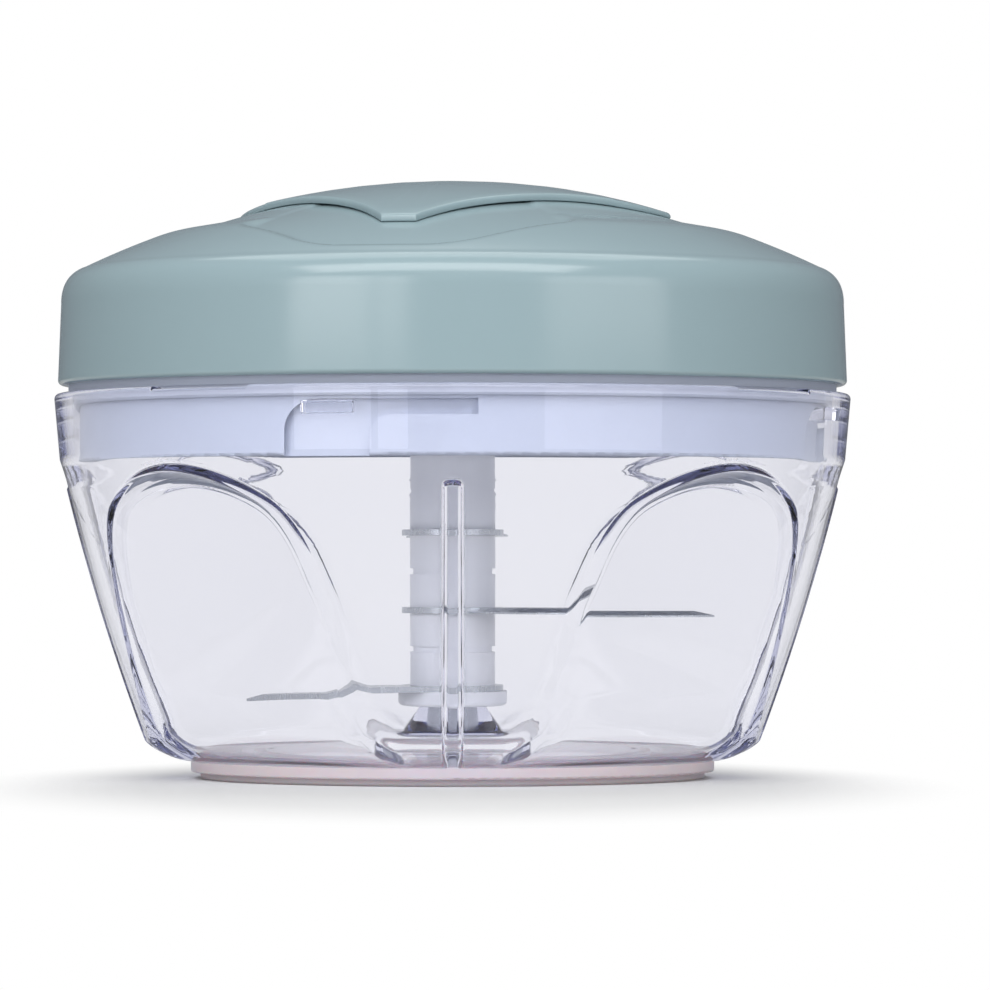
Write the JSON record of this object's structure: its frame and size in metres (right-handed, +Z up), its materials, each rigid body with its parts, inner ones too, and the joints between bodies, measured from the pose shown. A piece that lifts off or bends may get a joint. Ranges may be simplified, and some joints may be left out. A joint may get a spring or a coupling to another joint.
{
  "type": "pull cord food chopper",
  "caption": "Hand pulled food chopper with a clear faceted bowl, a bayonet lid holding a cord reel and recoil spring, a lens shaped pull handle and a rotor of curved blades.",
  "frame": {"origin": "middle of the foot ring, on the surface the chopper stands on", "axes": "+Z up along the axis of the bowl and lid, -Y towards the front where a rib and the slot in the collar show, +X to the right seen from the front"},
  "size_m": [0.1314, 0.1314, 0.0984],
  "materials": {
    "clear_plastic": "clear, polished",
    "foot_silicone": "milky, matt",
    "sage_plastic": "glossy",
    "white_plastic": "satin",
    "seal_silicone": "milky, matt",
    "inner_plastic": "matt",
    "dark_plastic": "matt",
    "blade_steel": "brushed, ground edge",
    "bright_steel": "turned",
    "spring_steel": "blued strip",
    "cord": "braided"
  },
  "bodies": {
    "bowl": {"bowl": "clear_plastic", "base_ring": "foot_silicone", "pivot_pin": "bright_steel"},
    "rotor": {"blade_hub": "white_plastic", "lower_blade": "blade_steel", "middle_blade": "blade_steel", "upper_blade": "blade_steel", "lower_sleeve": "white_plastic", "upper_sleeve": "white_plastic", "hub_cap": "white_plastic"},
    "seal": {"lid_gasket": "seal_silicone"},
    "lid": {"lid_base": "white_plastic", "lid_cover": "sage_plastic", "lid_screws": "bright_steel", "bearing_bush": "inner_plastic", "reel_axle": "bright_steel", "axle_washer": "bright_steel", "axle_screw": "bright_steel", "cord_eyelet": "bright_steel", "cord_guide": "inner_plastic", "cord_lead": "cord"},
    "spindle": {"drive_spindle": "inner_plastic", "spindle_clip": "spring_steel", "pawl_ring": "dark_plastic"},
    "reel": {"cord_reel": "inner_plastic", "spring_cover": "inner_plastic", "ratchet_ring": "dark_plastic", "recoil_spring": "spring_steel", "wound_cord": "cord"},
    "handle": {"pull_handle": "sage_plastic", "handle_base": "white_plastic", "handle_screws": "bright_steel", "cord_knot": "cord", "cord_tail": "cord"}
  },
  "joints": [
    {"name": "lid_lift", "type": "slide", "parent": "bowl", "child": "seal", "axis": [0, 0, 1], "range_m": [0, 0.08]},
    {"name": "lid_twist", "type": "hinge", "parent": "seal", "child": "lid", "pos_m": [0, 0, 0.0634], "axis": [0, 0, 1], "range_deg": [-17, 0]},
    {"name": "handle_pull", "type": "slide", "parent": "lid", "child": "handle", "axis": [0, 0, 1], "range_m": [0, 0.3], "stiffness_N_per_m": 12, "springref_m": -0.1, "deforming": ["cord_tail"]},
    {"name": "reel_spin", "type": "hinge", "parent": "lid", "child": "reel", "pos_m": [0, 0, 0.0763], "axis": [0, 0, 1], "range_deg": [0, 960], "deforming": ["wound_cord", "recoil_spring"]},
    {"name": "spindle_spin", "type": "hinge", "parent": "lid", "child": "spindle", "pos_m": [0, 0, 0.0627], "axis": [0, 0, 1], "range_deg": [0, 960]},
    {"name": "blade_spin", "type": "hinge", "parent": "bowl", "child": "rotor", "pos_m": [0, 0, 0.03], "axis": [0, 0, 1], "range_deg": [0, 960]}
  ],
  "couplings": [
    {"joint": "reel_spin", "follows": "handle_pull", "rad_per_m": 55.4},
    {"joint": "spindle_spin", "follows": "handle_pull", "rad_per_m": 55.4},
    {"joint": "blade_spin", "follows": "handle_pull", "rad_per_m": 55.4}
  ]
}
